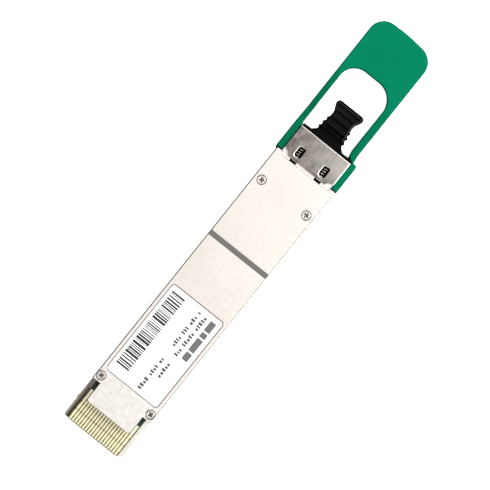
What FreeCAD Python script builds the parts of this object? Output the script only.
import FreeCAD, Part
import math
import os
import Sketcher

# Pluggable parallel-fibre optical transceiver module.
# Frame: origin at the centre of the circuit card's mating edge, +Y runs from that
# edge to the pull tab, +Z points to the label side, +X to the right seen from +Z
# with +Y up the page.  Millimetres.
# In names, _y0/_y1 are the ends nearer the card edge and the pull tab, _z0/_z1 the
# lower and upper heights, _in_x the inner face of a pair mirrored about x = 0.

os.makedirs("parts", exist_ok=True)
doc = FreeCAD.newDocument("optical_transceiver_module")
sheet = doc.addObject("Spreadsheet::Sheet", "Dims")

DIMENSIONS = dict(
    join_lap=0.01,  # overlap that fuses touching solids
    # shell
    hull_w=18.35, hull_hgt=8.5, seam_z=3.05, body_y0=12.1, shoulder_y=85.2,
    nose_y=92.9, nose_w=14.6, nose_top_z=3.75, nose_gap=0.1,
    rail_in_x=7.7, rail_top_z=-0.6, rail_lap=0.02, lower_tongue_y=6.6,
    floor_top_z=-3.45, wall_in_x=8.1, cavity_y0=15.3, cavity_y1=74.4,
    neck_bay_half_w=6.7, notch_y=84.3, edge_round=0.35, hull_corner=0.8, nose_corner=0.4,
    ledge_in_x=7.1, ledge_y0=26.0, ledge_y1=48.0,
    pedestal_half_w=5.5, pedestal_inset=1.0, pedestal_z=-2.45,
    rib_in_x=4.5, rib_y0=71.4, rib_y1=72.9, rib_top_z=1.0,
    bay_z=-3.3, bay_left=-5.8, bay_right=5.2, port_bay_half_w=6.3,
    nib_y0=5.45, nib_y1=6.05, nib_z0=-3.6, nib_z1=-1.6, nib_out=0.2,
    # latch grooves in the shell sides
    groove_y0=55.0, groove_x=8.5, groove_half_z=1.5,
    # fibre port and the spring pockets beside it
    port_x=-0.6, port_z=-0.55, port_w=12.4, port_hgt=4.9, port_mouth_hgt=6.4,
    port_mouth_y=91.4, port_back_y=84.0,
    spring_x=3.85, spring_pocket_w=1.95, spring_pocket_y0=84.45,
    spring_pocket_y1=91.2, spring_pocket_z=2.1,
    # label-side cover
    tongue_w=13.4, tongue_y=6.7, tongue_z=0.75, tongue_corner=0.6,
    tongue_step=0.05, tongue_root_len=1.0, cover_bevel=0.25,
    label_x=8.15, label_y0=15.65, label_y1=42.87, label_recess=0.12, label_t=0.1,
    label_corner=1.0, label_margin=0.2, label_round=0.8,
    strip_y0=57.65, strip_y1=59.05, strip_deep=0.25, strip_margin=0.26, strip_low=0.02,
    notch_half_w=7.8, notch_corner=0.8,
    cover_relief=0.4, relief_half_w=7.0, relief_y0=16.0, relief_y1=74.0,
    # cords in the seam
    cord_in_x=8.35, cord_out_x=8.85, cord_y0=16.5, cord_y1=73.5, cord_deep=0.45,
    # cover screws
    screw_ax=7.8, screw_ay=13.7, screw_bx=7.1, screw_by=76.35,
    screw_head_d=2.2, screw_seat_d=2.6, screw_shank_d=1.4, head_seat_z=3.5,
    head_top_z=4.2, screw_end_z=-0.6, cross_len=1.35, cross_wid=0.42, cross_deep=0.45,
    tap_extra_d=0.1, tap_extra_deep=0.2, screw_hole_extra_d=0.2,
    # circuit card
    card_w=15.8, card_t=1.0, card_len=62.0, neck_w=13.2, neck_y0=11.9, neck_y1=15.5,
    board_w=15.9, card_corner=0.5, card_bevel=0.12,
    pad_pitch=0.8, pad_w=0.55, pad_t=0.05, pad_y0=0.2, pad_outer_extra=0.12,
    pad_split_y=3.2, pad_gap=0.12, pad_end_y=6.3, edge_strip_y=9.3,
    # latch bracket
    sheet_t=0.35, plate_half_w=7.8, plate_y0=85.25, plate_y1=93.3, plate_top_z=4.2,
    lip_z=3.45, lip_inset=0.5, flange_z=-1.25, flange_inset=1.5, flange_y1=90.6,
    leg_x=8.6, leg_y0=56.5, cam_out=0.2,
    window_w=1.8, window_y0=86.12, window_y1=89.1, window_corner=0.7, window_round=0.28,
    finger_w=1.3, finger_z=2.3, finger_out=0.2, finger_round=0.18, plate_round=0.3,
    # springs
    spring_coil_r=0.66, spring_wire_r=0.15, spring_pitch=0.7,
    spring_y0=85.76, spring_len=5.28, spring_z=2.95,
    # pull tab
    tab_left_x=-9.7, tab_right_x=7.9, tab_end_y=128.25, arm_right_x=9.5,
    tab_open_y0=94.2, tab_open_y1=114.3, tab_open_left=-8.1, tab_open_right=5.95,
    tab_z0=-3.95, tab_t=1.6, tab_corner=5.2, tab_inner_corner=5.0, tab_round=0.4,
    tab_side_inset=2.0, arm_y0=85.3, arm_z0=-4.05, arm_z1=3.75, arm_slope_y=98.5, arm_y1=93.8,
    # dust plug
    plug_flange_half=7.7, plug_flange_y0=93.0, plug_flange_y1=94.15,
    plug_z0=-2.15, plug_flange_z1=3.25, plug_body_z1=1.85,
    plug_skirt_half=6.1, plug_skirt_z0=-3.8, plug_mouth_z0=-3.65, plug_mouth_z1=2.55,
    plug_mouth_gap=0.1, plug_core_half=4.6, plug_core_y0=87.3, plug_core_z0=-2.9,
    plug_core_z1=1.8, plug_hollow_half=3.8, plug_hollow_y1=90.8, plug_hollow_z0=-2.2,
    plug_hollow_z1=1.1,
    plug_root_half=4.55, plug_root_y=95.5, plug_neck0_half=3.74, plug_neck_y=101.1,
    plug_neck1_half=3.24, plug_head_y=103.3, plug_head_half=4.08, plug_end_y=104.5,
    plug_grip_dx=0.1, plug_rib_in=3.0, plug_rib_half_len=0.25, plug_rib_step=0.2,
    plug_panel_deep=0.35, plug_corner=0.8,
    # ferrule, with its boot, pins, clamp and retainer
    ferrule_w=6.4, ferrule_hgt=2.5, ferrule_face_y=84.6, ferrule_rear_y=75.4,
    shoulder_front_y=78.6, collar_half_w=3.6, collar_half_z=1.55,
    ferrule_slot_y1=79.0, ferrule_slot_half_w=1.85, ferrule_slot_half_z=0.75,
    boot_y0=73.2, boot_y1=78.8, boot_half_w=1.8, boot_half_z=0.7, boot_slot_y1=77.5,
    boot_slot_in=0.48, boot_slot_out=1.62, boot_slot_half_z=0.17,
    pin_pitch=4.6, pin_d=0.7, pin_hole_d=0.74, pin_tip_y=86.7, pin_rear_y=74.4, pin_bevel=0.12,
    clamp_y0=74.2, clamp_half_w=3.5, clamp_half_z=1.45, clamp_slot_half_w=1.88,
    clamp_slot_half_z=0.8, clamp_hole_extra_d=0.06, retainer_left=-5.9, retainer_right=4.9,
    retainer_top_z=2.4, retainer_slot_half_w=2.1, retainer_slot_low=0.9,
    # receptacle
    port_body_half_w=6.25, port_hole_half_w=3.25, port_hole_half_z=1.3, prong_half_z=1.2,
    # chips
    dsp_w=13.0, dsp_y=22.0, dsp_t=1.6, dsp_base_t=0.6, dsp_lid_inset=1.9,
    carrier_w=13.0, carrier_y0=50.0, carrier_len=12.0, carrier_z=-3.1, carrier_t=0.6,
    # fibre ribbons
    ribbon_in=0.5, ribbon_out=1.6, ribbon_t=0.3, ribbon_lift=0.35, ribbon_drop=0.15,
)
for row, (alias, number) in enumerate(DIMENSIONS.items(), 1):
    sheet.set("A%d" % row, alias.replace("_", " "))
    sheet.set("B%d" % row, repr(number))
    sheet.setAlias("B%d" % row, alias)
doc.recompute()


class Size:
    """A number together with the sheet expression that gives it."""

    def __init__(self, value, expr):
        self.value, self.expr = value, expr

    def __add__(self, other):
        other = size(other)
        return Size(self.value + other.value, "(%s + %s)" % (self.expr, other.expr))

    __radd__ = __add__

    def __sub__(self, other):
        other = size(other)
        return Size(self.value - other.value, "(%s - %s)" % (self.expr, other.expr))

    def __rsub__(self, other):
        return size(other) - self

    def __mul__(self, factor):
        return Size(self.value * factor, "(%s * %s)" % (self.expr, size(factor).expr))

    __rmul__ = __mul__

    def __truediv__(self, divisor):
        return Size(self.value / divisor, "(%s / %s)" % (self.expr, size(divisor).expr))

    def __neg__(self):
        return Size(-self.value, "(0 - %s)" % self.expr)


def size(x):
    if isinstance(x, Size):
        return x
    x = float(x)
    return Size(x, "%.6g" % x if x >= 0 else "(0 - %.6g)" % -x)


class SheetSizes:
    def __getattr__(self, alias):
        return Size(DIMENSIONS[alias], "Dims." + alias)


dim = SheetSizes()
HALF = dim.hull_w / 2
BOTTOM = -(dim.hull_hgt / 2)
TOP = dim.hull_hgt / 2
BOARD_TOP = dim.card_t / 2
BOARD_BOTTOM = -(dim.card_t / 2)
PORT_X = dim.port_x
PORT_Z = dim.port_z
nodes = []  # objects to export
cuts = []  # (body, feature before the cut, cut)


# ------------------------------------------------------------------ outlines
def rect(x0, y0, x1, y1):
    return [(x0, y0), (x1, y0), (x1, y1), (x0, y1)]


def centred(half_w, low, high, centre=0):
    """Rectangle of the given half width about a centre line."""
    half_w = size(half_w)
    return rect(centre - half_w, low, centre + half_w, high)


def port_rect(half_w, half_z):
    """Rectangle in X,Z about the port axis."""
    return centred(half_w, PORT_Z - half_z, PORT_Z + half_z, PORT_X)


def symmetric(right, centre=0):
    """Closed outline from the points of its right half, x taken from the centre line."""
    centre = size(centre)
    return [(centre + x, y) for x, y in right] + [(centre - x, y) for x, y in right[::-1]]


def mirrored(outline, centre=0):
    """An outline on both sides of a centre line, both running the same way round."""
    return [[(centre + side * size(x), y) for x, y in outline[::side]] for side in (-1, 1)]


def rect_pair(x0, y0, x1, y1):
    return mirrored(rect(x0, y0, x1, y1))


def spring_rects(width, y0, y1):
    """Rectangles centred on the two spring axes."""
    return rect_pair(dim.spring_x - width / 2, y0, dim.spring_x + width / 2, y1)


def pin_circles(diameter):
    reach = dim.pin_pitch / 2
    return [(PORT_X - reach, PORT_Z, diameter), (PORT_X + reach, PORT_Z, diameter)]


SCREW_PLACES = [(side * x, y)
                for x, y in ((dim.screw_ax, dim.screw_ay), (dim.screw_bx, dim.screw_by))
                for side in (-1, 1)]


def screw_circles(diameter):
    return [(x, y, diameter) for x, y in SCREW_PLACES]


# ------------------------------------------------------------------ features
def body(name):
    piece = doc.addObject("PartDesign::Body", name)
    piece.Label = name
    piece.AllowCompound = True
    nodes.append(piece)
    return piece


def origin_feature(piece, role):
    return [item for item in piece.Origin.OriginFeatures if item.Role == role][0]


def sketch(piece, plane, offset, polys, circles):
    """Closed polygons and circles, every corner held from the origin by the sheet."""
    outline = piece.newObject("Sketcher::SketchObject", "outline")
    outline.AttachmentSupport = (origin_feature(piece, plane), [""])
    outline.MapMode = "FlatFace"
    outline.setExpression("AttachmentOffset.Base.z", size(offset).expr)
    geometry, constraints, bound = [], [], []

    def hold(kind, *target):
        """Adds a dimension whose last argument is a Size."""
        constraints.append(Sketcher.Constraint(kind, *target[:-1], target[-1].value))
        bound.append((len(constraints) - 1, target[-1].expr))

    for points in polys:
        points = [(size(x), size(y)) for x, y in points]
        first, total = len(geometry), len(points)
        for i, (x, y) in enumerate(points):
            next_x, next_y = points[(i + 1) % total]
            geometry.append(Part.LineSegment(FreeCAD.Vector(x.value, y.value, 0),
                                             FreeCAD.Vector(next_x.value, next_y.value, 0)))
            constraints.append(Sketcher.Constraint(
                "Coincident", first + i, 2, first + (i + 1) % total, 1))
            hold("DistanceX", -1, 1, first + i, 1, x)
            hold("DistanceY", -1, 1, first + i, 1, y)
    for circle in circles:
        x, y, diameter = [size(item) for item in circle]
        index = len(geometry)
        geometry.append(Part.Circle(FreeCAD.Vector(x.value, y.value, 0),
                                    FreeCAD.Vector(0, 0, 1), diameter.value / 2))
        hold("DistanceX", -1, 1, index, 3, x)
        hold("DistanceY", -1, 1, index, 3, y)
        hold("Diameter", index, diameter)
    outline.addGeometry(geometry, False)
    outline.addConstraint(constraints)
    for i, expr in bound:
        outline.setExpression("Constraints[%d]" % i, expr)
    return outline


def pad(piece, outline, length, back=False):
    feature = piece.newObject("PartDesign::Pad", "pad")
    feature.Profile = outline
    feature.setExpression("Length", length.expr)
    feature.Reversed = back
    outline.Visibility = False
    return feature


def pocket(piece, outline, depth):
    base = piece.Tip
    feature = piece.newObject("PartDesign::Pocket", "pocket")
    feature.Profile = outline
    feature.setExpression("Length", depth.expr)
    cuts.append((piece, base, feature))


def add(piece, z0, z1, polys=(), circles=()):
    """Solid between two heights."""
    return pad(piece, sketch(piece, "XY_Plane", z0, polys, circles), size(z1) - z0)


def cut(piece, z0, z1, polys=(), circles=()):
    """Removes material between two heights."""
    pocket(piece, sketch(piece, "XY_Plane", z1, polys, circles), size(z1) - z0)


# The XZ plane's normal is -Y, so offsets along Y are negated and pads reversed.
def add_y(piece, y0, y1, polys=(), circles=()):
    """Solid along Y from profiles in X,Z."""
    pad(piece, sketch(piece, "XZ_Plane", -size(y0), polys, circles), size(y1) - y0, True)


def cut_y(piece, y0, y1, polys=(), circles=()):
    pocket(piece, sketch(piece, "XZ_Plane", -size(y0), polys, circles), size(y1) - y0)


def add_x(piece, x0, x1, polys):
    """Solid along X from profiles in Y,Z."""
    pad(piece, sketch(piece, "YZ_Plane", x0, polys, ()), size(x1) - x0)


def repeat_x(piece, feature, length, number):
    """Even copies of a feature along +X."""
    pattern = piece.newObject("PartDesign::LinearPattern", "row")
    pattern.Originals = [feature]
    pattern.Direction = (origin_feature(piece, "X_Axis"), [""])
    pattern.setExpression("Length", size(length).expr)
    pattern.Occurrences = number
    piece.Tip = pattern


def block(name, x0, x1, y0, y1, z0, z1):
    """A plain rectangular piece."""
    box = doc.addObject("Part::Box", name)
    box.Label = name
    for low, high, side, axis in ((x0, x1, "Length", "x"), (y0, y1, "Width", "y"),
                                  (z0, z1, "Height", "z")):
        box.setExpression(side, (size(high) - low).expr)
        box.setExpression("Placement.Base." + axis, size(low).expr)
    nodes.append(box)


# ------------------------------------------------------------------ edge selection
# Every test is given the bounding box of one edge.
FLAT = 1e-4


def near(value, target, tol=0.01):
    return abs(value - size(target).value) < tol


def upright(box, x=None, y=None):
    """Straight along Z, at the given |x| and/or y."""
    return (box.XLength < FLAT and box.YLength < FLAT and box.ZLength > 0.05
            and (x is None or near(abs(box.XMin), x, 0.02))
            and (y is None or near(box.YMin, y, 0.02)))


def along_x(box, y, z):
    return (box.YLength < FLAT and box.ZLength < FLAT
            and near(box.YMin, y) and near(box.ZMin, z))


def along_y(box, x, z, longer_than):
    return (box.XLength < FLAT and box.ZLength < FLAT and box.YLength > longer_than
            and near(abs(box.XMin), x) and near(box.ZMin, z))


def dress_edges(piece, kind, size_property, amount, test):
    doc.recompute()
    base = piece.Tip
    names = ["Edge%d" % i for i, edge in enumerate(base.Shape.Edges, 1) if test(edge.BoundBox)]
    if not names:
        raise RuntimeError("no edge found for %s on %s" % (kind, piece.Label))
    feature = piece.newObject("PartDesign::" + kind, kind.lower())
    feature.Base = (base, names)
    feature.setExpression(size_property, amount.expr)
    doc.recompute()
    if feature.Shape.isNull() or not feature.Shape.Solids:
        raise RuntimeError("%s failed on %s" % (kind, piece.Label))


def round_edges(piece, radius, test):
    dress_edges(piece, "Fillet", "Radius", radius, test)


def bevel_edges(piece, leg, test):
    dress_edges(piece, "Chamfer", "Size", leg, test)


# ------------------------------------------------------------------ base shell
# Die-cast lower housing: thermal floor, side walls, card rails, screw holes,
# ferrule bay and the nose that holds the fibre port.
shell = body("base_shell")
add(shell, BOTTOM, dim.seam_z, [symmetric([
    (dim.rail_in_x, dim.lower_tongue_y), (dim.rail_in_x, 0), (HALF, 0), (HALF, dim.shoulder_y)])])
add(shell, BOTTOM, dim.nose_top_z, [centred(dim.nose_w / 2, dim.notch_y + dim.nose_gap, dim.nose_y)])
# card bay: rails stand below the card, the lower tongue carries it
cut(shell, dim.rail_top_z, dim.seam_z,
    rect_pair(dim.rail_in_x - dim.rail_lap, 0, HALF, dim.body_y0))
cut(shell, BOARD_BOTTOM, dim.seam_z, [centred(dim.rail_in_x, dim.lower_tongue_y, dim.body_y0)])
cut(shell, BOARD_BOTTOM, dim.seam_z, [centred(dim.neck_bay_half_w, dim.body_y0, dim.cavity_y0)])
# main cavity
cut(shell, dim.floor_top_z, dim.seam_z, [centred(dim.wall_in_x, dim.cavity_y0, dim.cavity_y1)])
# ledges under the board's long edges, heat pedestal, retainer ribs
add(shell, dim.floor_top_z, BOARD_BOTTOM,
    rect_pair(dim.ledge_in_x, dim.ledge_y0, dim.wall_in_x, dim.ledge_y1))
add(shell, dim.floor_top_z, dim.pedestal_z, [centred(
    dim.pedestal_half_w, dim.dsp_y + dim.pedestal_inset,
    dim.dsp_y + dim.dsp_w - dim.pedestal_inset)])
add(shell, dim.floor_top_z, dim.rib_top_z,
    rect_pair(dim.rib_in_x, dim.rib_y0, dim.wall_in_x, dim.rib_y1))
# ferrule bay between the nose screws, receptacle bay behind the port
cut(shell, dim.bay_z, dim.seam_z,
    [rect(dim.bay_left, dim.cavity_y1, dim.bay_right, dim.shoulder_front_y)])
cut(shell, dim.bay_z, dim.seam_z,
    [centred(dim.port_bay_half_w, dim.shoulder_front_y, dim.port_back_y, PORT_X)])
# port tunnel and its taller mouth
cut_y(shell, dim.port_back_y, dim.nose_y, [port_rect(dim.port_w / 2, dim.port_hgt / 2)])
cut_y(shell, dim.port_mouth_y, dim.nose_y, [port_rect(dim.port_w / 2, dim.port_mouth_hgt / 2)])
# spring pockets, open upwards
cut(shell, dim.spring_pocket_z, dim.nose_top_z,
    spring_rects(dim.spring_pocket_w, dim.spring_pocket_y0, dim.spring_pocket_y1))
# side grooves for the latch legs
cut(shell, -dim.groove_half_z, dim.groove_half_z,
    rect_pair(dim.groove_x, dim.groove_y0, HALF, dim.shoulder_y))
# seam groove for the conductive cords
CORDS = rect_pair(dim.cord_in_x, dim.cord_y0, dim.cord_out_x, dim.cord_y1)
cut(shell, dim.seam_z - dim.cord_deep, dim.seam_z, CORDS)
# tapped holes for the cover screws
cut(shell, dim.screw_end_z - dim.tap_extra_deep, dim.seam_z,
    circles=screw_circles(dim.screw_shank_d + dim.tap_extra_d))
# two small nibs on the outside of the rails
add(shell, dim.nib_z0, dim.nib_z1,
    rect_pair(HALF - dim.join_lap, dim.nib_y0, HALF + dim.nib_out, dim.nib_y1))
round_edges(shell, dim.hull_corner, lambda box: upright(box, HALF, 0))
bevel_edges(shell, dim.edge_round, lambda box: along_y(box, HALF, BOTTOM, 5))
round_edges(shell, dim.nose_corner, lambda box: upright(box, dim.nose_w / 2, dim.nose_y))

# ------------------------------------------------------------------ top cover
# Label-side cover with the tongue over the card, label recess, gasket groove,
# screw seats and the notch that clears the latch plate.
cover = body("top_cover")
add(cover, dim.seam_z, TOP, [symmetric([
    (dim.tongue_w / 2, dim.tongue_y), (dim.tongue_w / 2, dim.body_y0), (HALF, dim.body_y0),
    (HALF, dim.shoulder_y), (dim.notch_half_w, dim.shoulder_y),
    (dim.notch_half_w, dim.notch_y)])])
add(cover, dim.tongue_z, dim.seam_z, [centred(
    dim.tongue_w / 2 - dim.tongue_step, dim.tongue_y, dim.body_y0 + dim.tongue_root_len)])
bevel_edges(cover, dim.cover_bevel, lambda box: along_y(box, HALF, TOP, 10))
cut(cover, dim.seam_z, dim.seam_z + dim.cover_relief,
    [centred(dim.relief_half_w, dim.relief_y0, dim.relief_y1)])
cut(cover, TOP - dim.label_recess, TOP, [centred(dim.label_x, dim.label_y0, dim.label_y1)])
cut(cover, TOP - dim.strip_deep, TOP, [centred(HALF, dim.strip_y0, dim.strip_y1)])
cut(cover, dim.head_seat_z, TOP, circles=screw_circles(dim.screw_seat_d))
cut(cover, dim.seam_z, dim.head_seat_z,
    circles=screw_circles(dim.screw_shank_d + dim.screw_hole_extra_d))
round_edges(cover, dim.label_corner, lambda box: upright(box, dim.label_x) and box.ZMin > 4.0)
round_edges(cover, dim.notch_corner, lambda box: upright(box, dim.notch_half_w, dim.notch_y))
round_edges(cover, dim.tongue_corner, lambda box: upright(box, dim.tongue_w / 2, dim.tongue_y))

# ------------------------------------------------------------------ cover screws
SCREW_TURNS = (38, 62, 28, 71)  # degrees each screw was left at
screws = body("cover_screws")
add(screws, dim.head_seat_z, dim.head_top_z, circles=screw_circles(dim.screw_head_d))
add(screws, dim.screw_end_z, dim.head_seat_z, circles=screw_circles(dim.screw_shank_d))


def cross(x, y, turn):
    """Cross recess outline, turned about its centre."""
    arm, half_w = dim.cross_len / 2, dim.cross_wid / 2
    cosine, sine = math.cos(math.radians(turn)), math.sin(math.radians(turn))
    right = [(half_w, -arm), (half_w, -half_w), (arm, -half_w),
             (arm, half_w), (half_w, half_w), (half_w, arm)]
    return [(x + u * cosine - v * sine, y + u * sine + v * cosine)
            for u, v in symmetric(right)]


cut(screws, dim.head_top_z - dim.cross_deep, dim.head_top_z,
    [cross(x, y, turn) for (x, y), turn in zip(SCREW_PLACES, SCREW_TURNS)])

# ------------------------------------------------------------------ label and cords
label = body("product_label")
label_z = TOP - dim.label_recess
add(label, label_z, label_z + dim.label_t, [centred(
    dim.label_x - dim.label_margin, dim.label_y0 + dim.label_margin,
    dim.label_y1 - dim.label_margin)])
round_edges(label, dim.label_round, upright)
cords = body("emi_seam_cords")
add(cords, dim.seam_z - dim.cord_deep, dim.seam_z, CORDS)

# ------------------------------------------------------------------ circuit board
board = body("circuit_board")
add(board, BOARD_BOTTOM, BOARD_TOP, [symmetric([
    (dim.card_w / 2, 0), (dim.card_w / 2, dim.neck_y0), (dim.neck_w / 2, dim.neck_y0),
    (dim.neck_w / 2, dim.neck_y1), (dim.board_w / 2, dim.neck_y1),
    (dim.board_w / 2, dim.card_len)])])
round_edges(board, dim.card_corner, lambda box: upright(box, dim.card_w / 2, 0))
bevel_edges(board, dim.card_bevel,
            lambda box: box.XLength > 10 and box.YLength < FLAT and near(box.YMin, 0))


def contact_rows(name, z0, z1, outer_end):
    """Two rows of gold pads; the outermost pads are wider and end at outer_end."""
    steps = 8  # pitches from the centre pad to the last of the even pads
    pads = body(name)
    half = dim.pad_w / 2
    front_end = dim.pad_split_y - dim.pad_gap / 2
    rear_start = dim.pad_split_y + dim.pad_gap / 2
    x = dim.pad_pitch * -steps
    column = add(pads, z0, z1, [centred(half, dim.pad_y0, front_end, x),
                                centred(half, rear_start, dim.pad_end_y, x)])
    repeat_x(pads, column, dim.pad_pitch * (2 * steps), 2 * steps + 1)
    x0 = dim.pad_pitch * (steps + 1) - half
    x1 = dim.pad_pitch * (steps + 1) + half + dim.pad_outer_extra
    add(pads, z0, z1, rect_pair(x0, dim.pad_y0, x1, front_end)
        + rect_pair(x0, rear_start, x1, outer_end))


contact_rows("contact_pads_top", BOARD_TOP, BOARD_TOP + dim.pad_t, dim.edge_strip_y)
contact_rows("contact_pads_bottom", BOARD_BOTTOM - dim.pad_t, BOARD_BOTTOM, dim.pad_end_y)

# ------------------------------------------------------------------ board components
LID_HALF = dim.dsp_w / 2 - dim.dsp_lid_inset
LID_Y0 = dim.dsp_y + dim.dsp_lid_inset
LID_Y1 = dim.dsp_y + dim.dsp_w - dim.dsp_lid_inset
processor = body("signal_processor")
add(processor, BOARD_BOTTOM - dim.dsp_base_t, BOARD_BOTTOM,
    [centred(dim.dsp_w / 2, dim.dsp_y, dim.dsp_y + dim.dsp_w)])
add(processor, BOARD_BOTTOM - dim.dsp_t, BOARD_BOTTOM - dim.dsp_base_t,
    [centred(LID_HALF, LID_Y0, LID_Y1)])

# name, x size, y size, height, y start, left edges
for name, width, length, height, y, lefts in (
        ("power_inductors", 2.6, 2.6, 1.6, 47.6, (-7.0, -3.4, 0.8, 4.4)),
        ("voltage_regulators", 2.0, 2.4, 0.8, 52.0, (-6.7, -1.0, 4.7))):
    add(body(name), BOARD_TOP, BOARD_TOP + height,
        [rect(x, y, x + width, y + length) for x in lefts])

capacitors = body("ceramic_capacitors")
# left edge, x size, y size, y starts, reach of the row of seven
for left, width, length, starts, reach in ((-6.6, 1.0, 0.5, (17.0, 19.2, 37.4), 12.0),
                                           (-6.6, 0.6, 1.2, (56.4,), 12.6)):
    column = add(capacitors, BOARD_TOP, BOARD_TOP + 0.5,
                 [rect(left, y, left + width, y + length) for y in starts])
    repeat_x(capacitors, column, reach, 7)

COUPLING_STEPS = (-7, -6, -5, -4, -2, -1, 1, 2, 4, 5, 6, 7)  # places in pad pitches
coupling = body("coupling_capacitors")
add(coupling, BOARD_BOTTOM - 0.35, BOARD_BOTTOM,
    [centred(0.15, 17.0, 17.6, dim.pad_pitch * i) for i in COUPLING_STEPS])

# ------------------------------------------------------------------ optical engine
CARRIER_TOP = dim.carrier_z + dim.carrier_t
CHIP_TOP = CARRIER_TOP + 0.6  # top of the photonic chip
lasers = body("laser_packages")
add(lasers, CHIP_TOP, CHIP_TOP + 0.9, [rect(-5.8, 55.0, -4.3, 56.9), rect(-5.8, 57.4, -4.3, 59.3)])

# fibre ribbon path: y, share of the climb from the fibre array to the ferrule boot
RIBBON_PATH = [(61.75, 0.0), (64.0, 0.0), (65.5, 0.12), (67.0, 0.42),
               (68.5, 0.72), (70.2, 0.95), (72.0, 1.0), (77.4, 1.0)]


def ribbon(name, x0, x1):
    start_z = CARRIER_TOP + dim.ribbon_lift
    rise = PORT_Z - dim.ribbon_drop - start_z
    low = [(y, start_z + rise * share) for y, share in RIBBON_PATH]
    high = [(y, z + dim.ribbon_t) for y, z in low]
    add_x(body(name), x0, x1, [low + high[::-1]])


ribbon("tx_fibre_ribbon", PORT_X - dim.ribbon_out, PORT_X - dim.ribbon_in)
ribbon("rx_fibre_ribbon", PORT_X + dim.ribbon_in, PORT_X + dim.ribbon_out)

# ------------------------------------------------------------------ plain blocks
CARRIER_Y = (dim.carrier_y0, dim.carrier_y0 + dim.carrier_len)
# name, x0, x1, y0, y1, z0, z1
for entry in (
        ("gasket_strip", -HALF + dim.strip_margin, HALF - dim.strip_margin,
         dim.strip_y0, dim.strip_y1, TOP - dim.strip_deep, TOP - dim.strip_low),
        ("card_emi_foam", -6.2, 6.2, 9.6, 11.6, BOARD_TOP, dim.tongue_z),
        ("processor_thermal_pad", -LID_HALF, LID_HALF, LID_Y0, LID_Y1,
         dim.pedestal_z, BOARD_BOTTOM - dim.dsp_t),
        ("microcontroller", -6.4, -1.4, 40.0, 45.0, BOARD_TOP, BOARD_TOP + 0.85),
        ("clock_oscillator", 0.6, 3.1, 40.6, 42.6, BOARD_TOP, BOARD_TOP + 0.75),
        ("configuration_memory", 4.2, 6.6, 40.4, 43.4, BOARD_TOP, BOARD_TOP + 0.75),
        ("engine_thermal_pad", -6.5, 6.5, *CARRIER_Y, dim.floor_top_z, dim.carrier_z),
        ("engine_carrier", -dim.carrier_w / 2, dim.carrier_w / 2, *CARRIER_Y,
         dim.carrier_z, CARRIER_TOP),
        ("photonic_chip", -6.0, -0.3, 54.6, 59.6, CARRIER_TOP, CHIP_TOP),
        ("modulator_driver", -5.4, -1.0, 51.0, 53.6, CARRIER_TOP, CARRIER_TOP + 0.5),
        ("receiver_amplifier", 1.0, 5.4, 51.0, 53.6, CARRIER_TOP, CARRIER_TOP + 0.5),
        ("photodiode_array", 0.8, 3.6, 55.6, 57.0, CARRIER_TOP, CARRIER_TOP + 0.4),
        ("optical_isolator", -4.1, -3.2, 56.0, 58.4, CHIP_TOP, CHIP_TOP + 0.9),
        ("receiver_lens_array", 0.8, 3.6, 57.2, 58.6, CARRIER_TOP, CARRIER_TOP + 0.9),
        ("tx_fibre_array", PORT_X - 2.3, PORT_X - 0.15, 59.7, 61.7,
         CARRIER_TOP, CARRIER_TOP + 1.1),
        ("rx_fibre_array", PORT_X + 0.15, PORT_X + 2.3, 59.7, 61.7,
         CARRIER_TOP, CARRIER_TOP + 1.1)):
    block(*entry)

# ------------------------------------------------------------------ ferrule group
ferrule = body("mt_ferrule")
add_y(ferrule, dim.ferrule_rear_y, dim.shoulder_front_y,
      [port_rect(dim.collar_half_w, dim.collar_half_z)])
add_y(ferrule, dim.shoulder_front_y, dim.ferrule_face_y,
      [port_rect(dim.ferrule_w / 2, dim.ferrule_hgt / 2)])
cut_y(ferrule, dim.ferrule_rear_y, dim.ferrule_slot_y1,
      [port_rect(dim.ferrule_slot_half_w, dim.ferrule_slot_half_z)])
cut_y(ferrule, dim.ferrule_rear_y, dim.ferrule_face_y, circles=pin_circles(dim.pin_hole_d))

boot = body("fibre_boot")
add_y(boot, dim.boot_y0, dim.boot_y1, [port_rect(dim.boot_half_w, dim.boot_half_z)])
cut_y(boot, dim.boot_y0, dim.boot_slot_y1, mirrored(
    rect(dim.boot_slot_in, PORT_Z - dim.boot_slot_half_z,
         dim.boot_slot_out, PORT_Z + dim.boot_slot_half_z), PORT_X))

pins = body("ferrule_guide_pins")
add_y(pins, dim.pin_rear_y, dim.pin_tip_y, circles=pin_circles(dim.pin_d))
bevel_edges(pins, dim.pin_bevel, lambda box: near(box.YMin, dim.pin_tip_y) and box.YLength < FLAT)

clamp = body("guide_pin_clamp")
add_y(clamp, dim.clamp_y0, dim.ferrule_rear_y, [port_rect(dim.clamp_half_w, dim.clamp_half_z)])
cut_y(clamp, dim.clamp_y0, dim.ferrule_rear_y,
      [port_rect(dim.clamp_slot_half_w, dim.clamp_slot_half_z)],
      pin_circles(dim.pin_d + dim.clamp_hole_extra_d))

retainer = body("ferrule_retainer")
left, right, top = dim.retainer_left, dim.retainer_right, dim.retainer_top_z
slot_left, slot_right = PORT_X - dim.retainer_slot_half_w, PORT_X + dim.retainer_slot_half_w
slot_z = PORT_Z - dim.retainer_slot_low
add_y(retainer, dim.rib_y1, dim.clamp_y0, [[
    (left, dim.bay_z), (right, dim.bay_z), (right, top), (slot_right, top),
    (slot_right, slot_z), (slot_left, slot_z), (slot_left, top), (left, top)]])

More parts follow.
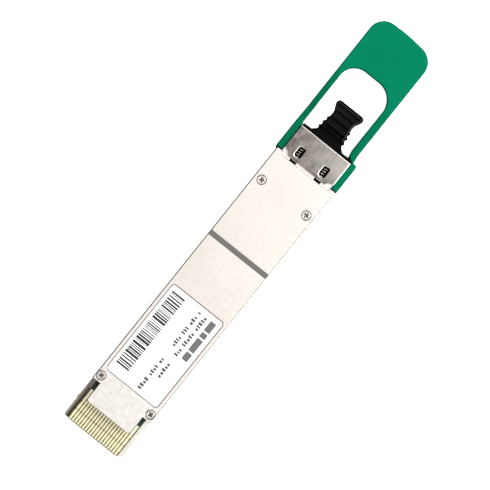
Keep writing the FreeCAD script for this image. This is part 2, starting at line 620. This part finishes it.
# right prong of the receptacle: x from the port axis, y
PRONG = [(5.2, 83.9), (5.8, 83.9), (5.8, 88.9), (5.2, 88.9), (4.85, 88.1), (5.2, 87.7)]
receptacle = body("port_receptacle")
add_y(receptacle, dim.shoulder_front_y, dim.port_back_y,
      [centred(dim.port_body_half_w, dim.bay_z, dim.seam_z, PORT_X)])
cut_y(receptacle, dim.shoulder_front_y, dim.port_back_y,
      [port_rect(dim.port_hole_half_w, dim.port_hole_half_z)])
add(receptacle, PORT_Z - dim.prong_half_z, PORT_Z + dim.prong_half_z, mirrored(PRONG, PORT_X))

# ------------------------------------------------------------------ latch bracket
# One folded strip of stainless sheet: window plate, bent fingers at the springs,
# side flanges folded back into long legs with cam tips.
PLATE_TOP = dim.plate_top_z
PLATE_UNDER = PLATE_TOP - dim.sheet_t
PLATE_HALF = dim.plate_half_w
LEG_OUT = dim.leg_x + dim.sheet_t
# hollow curve at the plate corners nearer the card: inset from the side, y from the edge
CORNER_CURVE = [(1.9, 0.0), (1.86, 0.26), (1.7, 0.56), (1.39, 0.83),
                (0.95, 1.04), (0.45, 1.17), (0.0, 1.2)]
# cam tip on a leg: x from the leg's outer face, y from the leg's end
CAM_TIP = [(-dim.join_lap, 0), (dim.cam_out, 0.8), (dim.cam_out, 1.4), (-dim.join_lap, 2.6)]
LEG_SLOT_START = dim.flange_y1 - dim.sheet_t


def in_window(box):
    """Edge lies within 0.2 of a window in the plate."""
    reach = dim.window_w.value / 2 + 0.2
    return (all(near(abs(x), dim.spring_x, reach) for x in (box.XMin, box.XMax))
            and box.YMin > dim.window_y0.value - 0.2 and box.YMax < dim.window_y1.value + 0.2)


bracket = body("latch_bracket")
add(bracket, PLATE_UNDER, PLATE_TOP, [symmetric(
    [(PLATE_HALF - inset, dim.plate_y0 + y) for inset, y in CORNER_CURVE]
    + [(PLATE_HALF, dim.plate_y1)])])
cut(bracket, PLATE_UNDER, PLATE_TOP, spring_rects(dim.window_w, dim.window_y0, dim.window_y1))
add(bracket, dim.flange_z, PLATE_UNDER, rect_pair(
    PLATE_HALF - dim.sheet_t, dim.plate_y0 + dim.flange_inset, PLATE_HALF, dim.flange_y1))
add(bracket, dim.lip_z, PLATE_UNDER,
    [centred(PLATE_HALF - dim.lip_inset, dim.plate_y1 - dim.sheet_t, dim.plate_y1)])
add(bracket, dim.finger_z, PLATE_TOP, spring_rects(
    dim.finger_w, dim.plate_y0 - dim.finger_out, dim.plate_y0 + dim.sheet_t))
round_edges(bracket, dim.finger_round,
            lambda box: along_x(box, dim.plate_y0 - dim.finger_out, PLATE_TOP))
add(bracket, dim.flange_z, -dim.flange_z,
    rect_pair(PLATE_HALF - dim.sheet_t, LEG_SLOT_START, LEG_OUT, dim.flange_y1))
add(bracket, dim.flange_z, -dim.flange_z,
    rect_pair(dim.leg_x, dim.leg_y0, LEG_OUT, dim.flange_y1))
add(bracket, dim.flange_z, -dim.flange_z,
    mirrored([(LEG_OUT + x, dim.leg_y0 + y) for x, y in CAM_TIP]))
round_edges(bracket, dim.window_corner, lambda box: upright(box) and in_window(box))
round_edges(bracket, dim.window_round,
            lambda box: box.ZLength < FLAT and near(box.ZMin, PLATE_TOP) and in_window(box))
round_edges(bracket, dim.plate_round, lambda box: along_x(box, dim.plate_y1, PLATE_TOP)
            or along_y(box, PLATE_HALF, PLATE_TOP, 4))

# ------------------------------------------------------------------ pull tab
# Soft loop moulded over the bracket sides; beyond the nose it drops to the floor
# side so that a fibre plug passes over it.
LEFT, RIGHT, ARM_RIGHT = dim.tab_left_x, dim.tab_right_x, dim.arm_right_x
TAB_UNDER, TAB_TOP = dim.tab_z0, dim.tab_z0 + dim.tab_t
OPEN_Y0 = dim.tab_open_y0
SIDE_Y0 = dim.arm_y0 + dim.tab_side_inset
tab = body("pull_tab")
add(tab, TAB_UNDER, TAB_TOP, [[
    (LEFT, SIDE_Y0), (LEFT, dim.tab_end_y), (RIGHT, dim.tab_end_y), (RIGHT, OPEN_Y0 + 2.2),
    (RIGHT + 0.4, OPEN_Y0 + 0.1), (ARM_RIGHT, dim.arm_y1), (ARM_RIGHT, 93.1), (6.95, 93.1),
    (6.8, OPEN_Y0), (6.4, OPEN_Y0 + 1.3), (dim.tab_open_right, OPEN_Y0 + 2.8),
    (dim.tab_open_right, dim.tab_open_y1), (dim.tab_open_left, dim.tab_open_y1),
    (dim.tab_open_left, SIDE_Y0)]])
add(tab, dim.arm_z0, dim.arm_z1, [rect(LEFT, dim.arm_y0, -PLATE_HALF, OPEN_Y0),
                                  rect(PLATE_HALF, dim.arm_y0, ARM_RIGHT, dim.arm_y1)])
# sloping end of the left arm
add_x(tab, LEFT, dim.tab_open_left, [[
    (OPEN_Y0 - dim.join_lap, TAB_UNDER), (OPEN_Y0 + 0.6, TAB_UNDER),
    (dim.arm_slope_y, TAB_TOP - dim.join_lap), (OPEN_Y0 + 0.5, dim.arm_z1 - 0.6),
    (OPEN_Y0 - dim.join_lap, dim.arm_z1)]])
# slots that hold the folded bracket legs
cut(tab, dim.flange_z, -dim.flange_z, rect_pair(dim.leg_x, dim.arm_y0, LEG_OUT, dim.flange_y1))
cut(tab, dim.flange_z, -dim.flange_z,
    rect_pair(PLATE_HALF, LEG_SLOT_START, dim.leg_x + dim.join_lap, dim.flange_y1))
round_edges(tab, dim.tab_corner, lambda box: upright(box, y=dim.tab_end_y))
round_edges(tab, dim.tab_inner_corner, lambda box: upright(box, y=dim.tab_open_y1))
round_edges(tab, dim.tab_round, lambda box: box.ZLength < FLAT and box.YMin > 114.0
            and (near(box.ZMin, TAB_TOP) or near(box.ZMin, TAB_UNDER)))


# ------------------------------------------------------------------ return springs
def spring(name, side):
    helix = doc.addObject("Part::Helix", "helix")
    helix.setExpression("Pitch", dim.spring_pitch.expr)
    helix.setExpression("Height", dim.spring_len.expr)
    helix.setExpression("Radius", dim.spring_coil_r.expr)
    wire = doc.addObject("Part::Circle", "wire")
    wire.setExpression("Radius", dim.spring_wire_r.expr)
    origin, x_axis = FreeCAD.Vector(0, 0, 0), FreeCAD.Vector(1, 0, 0)
    wire.Placement = FreeCAD.Placement(origin, FreeCAD.Rotation(x_axis, 90))
    wire.setExpression("Placement.Base.x", dim.spring_coil_r.expr)
    coil = doc.addObject("Part::Sweep", name)
    coil.Label = name
    coil.Sections = [wire]
    coil.Spine = (helix, ["Edge1"])
    coil.Solid = True
    coil.Frenet = True
    coil.Placement = FreeCAD.Placement(origin, FreeCAD.Rotation(x_axis, -90))
    coil.setExpression("Placement.Base.x", (dim.spring_x * side).expr)
    coil.setExpression("Placement.Base.y", dim.spring_y0.expr)
    coil.setExpression("Placement.Base.z", dim.spring_z.expr)
    nodes.append(coil)


spring("return_spring_left", -1)
spring("return_spring_right", 1)

# ------------------------------------------------------------------ dust plug
FLANGE_Y0, FLANGE_Y1 = dim.plug_flange_y0, dim.plug_flange_y1
PLUG_Z0, PLUG_Z1 = dim.plug_z0, dim.plug_body_z1
MOUTH_Y = dim.port_mouth_y + dim.plug_mouth_gap
GRIP_X = PORT_X + dim.plug_grip_dx
GRIP_RIBS = ((96.3, 3.82), (97.75, 3.7), (99.15, 3.58))  # y of the middle, half width
plug = body("dust_plug")
add(plug, PLUG_Z0, dim.plug_flange_z1, [centred(dim.plug_flange_half, FLANGE_Y0, FLANGE_Y1)])
add(plug, dim.plug_skirt_z0, PLUG_Z0,
    [centred(dim.plug_skirt_half, FLANGE_Y0, FLANGE_Y1, PORT_X)])
add(plug, dim.plug_mouth_z0, dim.plug_mouth_z1,
    [centred(dim.plug_skirt_half, MOUTH_Y, FLANGE_Y0, PORT_X)])
add(plug, dim.plug_core_z0, dim.plug_core_z1,
    [centred(dim.plug_core_half, dim.plug_core_y0, MOUTH_Y, PORT_X)])
add(plug, PLUG_Z0, PLUG_Z1, [symmetric([
    (dim.plug_root_half, FLANGE_Y1), (dim.plug_neck0_half + 0.2, dim.plug_root_y - 0.65),
    (dim.plug_neck0_half, dim.plug_root_y), (dim.plug_neck1_half, dim.plug_neck_y),
    (dim.plug_head_half, dim.plug_head_y), (dim.plug_head_half, dim.plug_end_y)], GRIP_X)])
ribs = []
for y, half in GRIP_RIBS:
    ribs += mirrored(rect(dim.plug_rib_in, y - dim.plug_rib_half_len,
                          half, y + dim.plug_rib_half_len), GRIP_X)
add(plug, PLUG_Z0 + dim.plug_rib_step, PLUG_Z1 - dim.plug_rib_step, ribs)
# shallow panel sunk into both faces of the grip
panel = [symmetric([(2.75, 95.9), (2.3, dim.plug_neck_y), (2.9, dim.plug_head_y), (2.9, 103.8)],
                   GRIP_X)]
cut(plug, PLUG_Z1 - dim.plug_panel_deep, PLUG_Z1, panel)
cut(plug, PLUG_Z0, PLUG_Z0 + dim.plug_panel_deep, panel)
cut_y(plug, dim.plug_core_y0, dim.plug_hollow_y1,
      [centred(dim.plug_hollow_half, dim.plug_hollow_z0, dim.plug_hollow_z1, PORT_X)])
round_edges(plug, dim.plug_corner, lambda box: upright(box, y=dim.plug_end_y))

# ------------------------------------------------------------------ checks and export
doc.recompute()
bad = [item.Name for item in doc.Objects
       if any(state in ("Invalid", "Error") for state in item.State)]
if bad:
    raise RuntimeError("failed objects: %s" % bad)
for piece, base, feature in cuts:
    if not base.Shape.Volume - feature.Shape.Volume > 1e-6:
        raise RuntimeError("cut removed nothing: %s in %s" % (feature.Name, piece.Label))
for node in nodes:
    if node.Shape.isNull() or not node.Shape.isValid() or not node.Shape.Solids:
        raise RuntimeError("bad shape: " + node.Label)
for node in nodes:
    node.Shape.exportStep("parts/%s.step" % node.Label)
